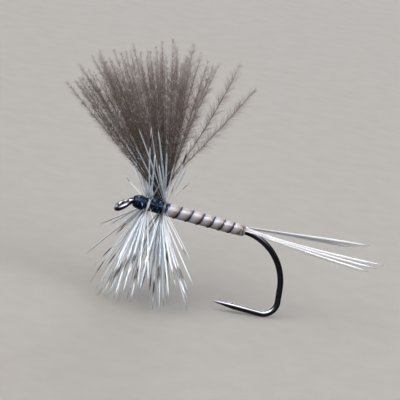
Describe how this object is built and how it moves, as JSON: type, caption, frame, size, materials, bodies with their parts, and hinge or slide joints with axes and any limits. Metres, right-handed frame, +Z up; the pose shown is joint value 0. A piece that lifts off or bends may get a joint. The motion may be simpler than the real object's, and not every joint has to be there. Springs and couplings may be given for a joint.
{
  "type": "dry fly",
  "caption": "Fishing dry fly on a turned-down-eye hook: wound quill body with a thread rib, split tail, upright wing of soft down plumes, and a barred hackle on which it stands.",
  "frame": {"origin": "centre of the hook's eye", "axes": "+X level, along the hook from the eye to the tail; +Z up as the fly stands on its hackle tips and the bend of its hook; the near side in the picture is -Y"},
  "size_m": [0.0235, 0.0133, 0.018],
  "materials": {
    "hook_steel": "black nickel, polished",
    "thread": "waxed thread, slight sheen",
    "rib": "waxed thread",
    "quill": "stripped feather quill, satin",
    "tail_fibre": "translucent fibre",
    "plume": "soft down feather",
    "hackle": "barred cock hackle"
  },
  "bodies": {
    "fly": {"hook": "hook_steel", "thread_base": "thread", "quill_body": "quill", "rib_thread": "rib", "tail_wraps": "quill", "thorax_wraps": "thread", "wing_wraps": "thread", "hackle_front": "hackle", "hackle_rear": "hackle", "head_wraps": "thread"},
    "wing": {"plume_fore": "plume", "plume_near": "plume", "plume_far": "plume", "plume_aft": "plume"},
    "tail": {"tail_near_upper": "tail_fibre", "tail_near_middle": "tail_fibre", "tail_near_lower": "tail_fibre", "tail_far_upper": "tail_fibre", "tail_far_middle": "tail_fibre", "tail_far_lower": "tail_fibre"}
  },
  "joints": [
    {"name": "wing_fold", "type": "hinge", "parent": "fly", "child": "wing", "pos_m": [0.00229, 0, 0.00093], "axis": [0, 1, 0], "range_deg": [-15, 45], "stiffness_Nm_per_rad": 0.000004},
    {"name": "tail_flex", "type": "hinge", "parent": "fly", "child": "tail", "pos_m": [0.00855, 0, -0.00055], "axis": [0, -1, 0], "range_deg": [-6, 18], "stiffness_Nm_per_rad": 0.000001}
  ]
}
